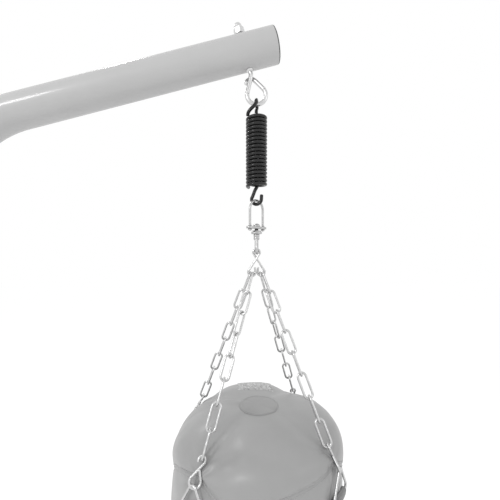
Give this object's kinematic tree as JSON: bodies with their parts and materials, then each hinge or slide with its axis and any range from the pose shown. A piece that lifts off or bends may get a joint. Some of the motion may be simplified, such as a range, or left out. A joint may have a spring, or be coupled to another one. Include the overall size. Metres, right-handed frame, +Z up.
{
  "type": "punching bag on stand",
  "caption": "Heavy punching bag hung by chains, swivel and spring from the boom of a free-standing steel stand.",
  "frame": {"origin": "floor level straight under the bag's hanging axis, the middle of the base", "axes": "+Z up, +X along the boom away from the mast, +Y to the left of that"},
  "size_m": [1.2654, 1.068, 2.0995],
  "materials": {
    "frame_paint": "satin grey powder coat",
    "bolt_zinc": "zinc plated",
    "peg_steel": "bright steel",
    "cap_plastic": "moulded",
    "foot_rubber": "matt",
    "zinc_plate": "bright zinc",
    "spring_black": "semi-gloss black",
    "swivel_nickel": "dull nickel plate",
    "chain_zinc": "bright zinc",
    "strap_webbing": "woven webbing",
    "filling": "packed textile",
    "bag_vinyl": "synthetic leather, soft sheen",
    "patch_vinyl": "synthetic leather"
  },
  "bodies": {
    "stand": {"rear_cross_tube": "frame_paint", "left_side_rail": "frame_paint", "right_side_rail": "frame_paint", "corner_plates": "frame_paint", "corner_bolts": "bolt_zinc", "tube_end_caps": "cap_plastic", "rubber_feet": "foot_rubber", "mast_foot": "frame_paint", "mast_foot_bolts": "bolt_zinc", "lower_mast": "frame_paint", "mast_sleeve": "frame_paint", "sleeve_bolts": "bolt_zinc", "boom_tube": "frame_paint", "boom_end_plug": "cap_plastic", "brace_collar": "frame_paint", "left_brace": "frame_paint", "right_brace": "frame_paint", "brace_brackets": "frame_paint", "brace_bolts": "bolt_zinc", "left_plate_peg": "peg_steel", "right_plate_peg": "peg_steel", "eye_bolt": "zinc_plate", "eye_bolt_washer": "zinc_plate", "eye_bolt_nut": "zinc_plate"},
    "spring_top": {"spring_upper_hook": "spring_black", "spring_coil": "spring_black"},
    "spring_bottom": {"spring_lower_hook": "spring_black"},
    "swivel_top": {"swivel_bow": "swivel_nickel", "swivel_bar": "swivel_nickel", "swivel_stud": "swivel_nickel"},
    "swivel_bottom": {"swivel_collar": "swivel_nickel", "swivel_eye": "swivel_nickel"},
    "bag": {"right_top_s_hook": "chain_zinc", "left_top_s_hook": "chain_zinc", "front_right_chain": "chain_zinc", "back_right_chain": "chain_zinc", "back_left_chain": "chain_zinc", "front_left_chain": "chain_zinc", "front_right_s_hook": "chain_zinc", "back_right_s_hook": "chain_zinc", "back_left_s_hook": "chain_zinc", "front_left_s_hook": "chain_zinc", "front_right_ring": "chain_zinc", "back_right_ring": "chain_zinc", "back_left_ring": "chain_zinc", "front_left_ring": "chain_zinc", "front_right_strap": "strap_webbing", "back_right_strap": "strap_webbing", "back_left_strap": "strap_webbing", "front_left_strap": "strap_webbing", "bag_filling": "filling", "bag_side_wall": "bag_vinyl", "bag_top_panel": "bag_vinyl", "bag_bottom_panel": "bag_vinyl", "bag_top_patch": "patch_vinyl", "bag_label_patch": "patch_vinyl"}
  },
  "joints": [
    {"name": "spring_side_swing", "type": "hinge", "parent": "stand", "child": "spring_top", "pos_m": [0, 0, 1.9495], "axis": [1, 0, 0], "range_deg": [-18, 18]},
    {"name": "spring_stretch", "type": "slide", "parent": "spring_top", "child": "spring_bottom", "axis": [0, 0, -1], "range_m": [0, 0.03], "stiffness_N_per_m": 15000, "springref_m": -0.03, "deforming": ["spring_coil"]},
    {"name": "swivel_swing", "type": "hinge", "parent": "spring_bottom", "child": "swivel_top", "pos_m": [0, 0, 1.76545], "axis": [0, 1, 0], "range_deg": [-15, 6]},
    {"name": "swivel_turn", "type": "hinge", "parent": "swivel_top", "child": "swivel_bottom", "pos_m": [0, 0, 1.716], "axis": [0, 0, 1], "continuous": true},
    {"name": "bag_swing", "type": "hinge", "parent": "swivel_bottom", "child": "bag", "pos_m": [0, 0, 1.6766], "axis": [0, 1, 0], "range_deg": [-8, 5]}
  ]
}
